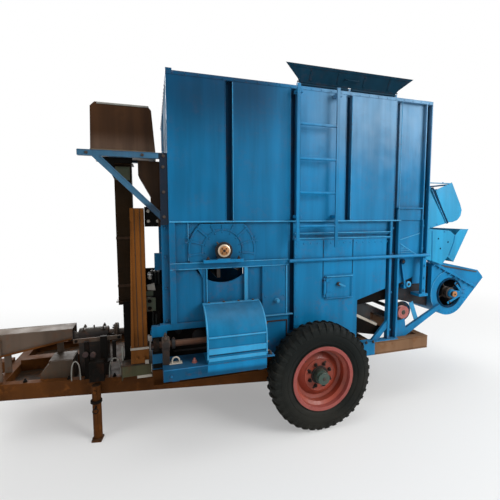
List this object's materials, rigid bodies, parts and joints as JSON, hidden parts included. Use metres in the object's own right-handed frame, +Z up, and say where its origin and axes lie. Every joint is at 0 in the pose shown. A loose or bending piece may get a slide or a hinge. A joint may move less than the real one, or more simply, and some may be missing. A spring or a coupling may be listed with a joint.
{
  "type": "agricultural thresher",
  "caption": "Trailed thresher on a steel chassis with a tall feed box, drum, blower, straw chute, drawbar, ladder, guards and swing-down stand legs.",
  "frame": {"origin": "on the ground under the middle of the overall box", "axes": "+X forward along the drawbar, +Y to the machine's left, +Z up"},
  "size_m": [4.37, 1.745, 2.4421],
  "materials": {
    "blue_paint": "worn satin enamel",
    "chassis_brown": "flat red-brown primer, weathered",
    "rim_red": "worn satin enamel",
    "hub_green": "worn satin enamel",
    "tyre": "dull, dusty",
    "tan_paint": "flat, weathered",
    "grey_plate": "flat, weathered",
    "brown_steel": "dull, oily",
    "orange_brown": "flat, weathered",
    "black_iron": "painted, dull",
    "dark_steel": "oiled, dull",
    "galvanised": "dull grey",
    "red_pulley": "worn satin enamel"
  },
  "bodies": {
    "chassis": {"axle_beam": "chassis_brown", "bagging_duct": "brown_steel", "blower_housing": "blue_paint", "body_posts": "blue_paint", "chassis_rail_left": "chassis_brown", "chassis_rail_right": "chassis_brown", "cross_members": "chassis_brown", "drawbar_beam_left": "chassis_brown", "drawbar_beam_right": "chassis_brown", "drawbar_tongue": "chassis_brown", "drum_bearings": "black_iron", "drum_covers": "blue_paint", "drum_panel_left": "blue_paint", "drum_panel_right": "blue_paint", "feed_chute": "blue_paint", "flap_hinge": "blue_paint", "front_deck": "grey_plate", "front_wall": "blue_paint", "grain_box": "brown_steel", "guard_platform": "blue_paint", "hitch_clevis": "chassis_brown", "ladder": "blue_paint", "main_panel_left": "blue_paint", "main_panel_right": "blue_paint", "pto_guard": "brown_steel", "pulley_guard": "blue_paint", "rear_braces_left": "blue_paint", "rear_braces_right": "blue_paint", "rear_wall": "blue_paint", "return_chute": "brown_steel", "roof_panel": "blue_paint", "shaft_bearings": "blue_paint", "shelf_bracket": "blue_paint", "side_aprons": "blue_paint", "side_crossbars": "blue_paint", "side_rails": "blue_paint", "sieve_box": "galvanised", "sieve_links": "blue_paint", "stand_pins": "chassis_brown", "straw_chute": "blue_paint", "straw_hood": "blue_paint", "support_post": "orange_brown", "tool_box": "tan_paint", "upper_wall_left": "blue_paint", "upper_wall_right": "blue_paint"},
    "wheel_left": {"tyre_left": "tyre", "wheel_disc_left": "rim_red", "wheel_hub_left": "hub_green"},
    "wheel_right": {"tyre_right": "tyre", "wheel_disc_right": "rim_red", "wheel_hub_right": "hub_green"},
    "drum": {"threshing_drum": "dark_steel"},
    "line": {"line_shaft": "dark_steel"},
    "input": {"input_shaft": "dark_steel"},
    "blower": {"blower_rotor": "dark_steel"},
    "rear_pulley": {"rear_pulley_shaft": "red_pulley"},
    "door": {"inspection_door": "blue_paint"},
    "flap": {"feed_flap": "blue_paint"},
    "stand_left": {"stand_leg_left": "chassis_brown"},
    "stand_right": {"stand_leg_right": "chassis_brown"}
  },
  "joints": [
    {"name": "wheel_left_spin", "type": "hinge", "parent": "chassis", "child": "wheel_left", "pos_m": [-0.515, 0.79, 0.367], "axis": [0, 1, 0], "continuous": true},
    {"name": "wheel_right_spin", "type": "hinge", "parent": "chassis", "child": "wheel_right", "pos_m": [-0.515, -0.79, 0.367], "axis": [0, 1, 0], "continuous": true},
    {"name": "drum_spin", "type": "hinge", "parent": "chassis", "child": "drum", "pos_m": [0.123, 0, 1.235], "axis": [0, 1, 0], "continuous": true},
    {"name": "line_shaft_spin", "type": "hinge", "parent": "chassis", "child": "line", "pos_m": [0.2, 0.74, 0.682], "axis": [1, 0, 0], "continuous": true},
    {"name": "input_shaft_spin", "type": "hinge", "parent": "chassis", "child": "input", "pos_m": [1, 0.25, 0.63], "axis": [1, 0, 0], "continuous": true},
    {"name": "blower_spin", "type": "hinge", "parent": "chassis", "child": "blower", "pos_m": [-1.815, 0, 0.807], "axis": [0, 1, 0], "continuous": true},
    {"name": "rear_pulley_spin", "type": "hinge", "parent": "chassis", "child": "rear_pulley", "pos_m": [-1.308, 0, 0.698], "axis": [0, 1, 0], "continuous": true},
    {"name": "inspection_door_hinge", "type": "hinge", "parent": "chassis", "child": "door", "pos_m": [-0.607, 0.671, 0.94], "axis": [0, 0, -1], "range_deg": [0, 110]},
    {"name": "feed_flap_hinge", "type": "hinge", "parent": "chassis", "child": "flap", "pos_m": [-0.787, 0.648, 2.334], "axis": [1, 0, 0], "range_deg": [0, 117]},
    {"name": "stand_left_swing", "type": "hinge", "parent": "chassis", "child": "stand_left", "pos_m": [0.923, 0.45249, 0.332], "axis": [0.1538, 0.9881, 0], "range_deg": [0, 90]},
    {"name": "stand_right_swing", "type": "hinge", "parent": "chassis", "child": "stand_right", "pos_m": [0.923, -0.45249, 0.332], "axis": [-0.1538, 0.9881, 0], "range_deg": [0, 90]}
  ]
}
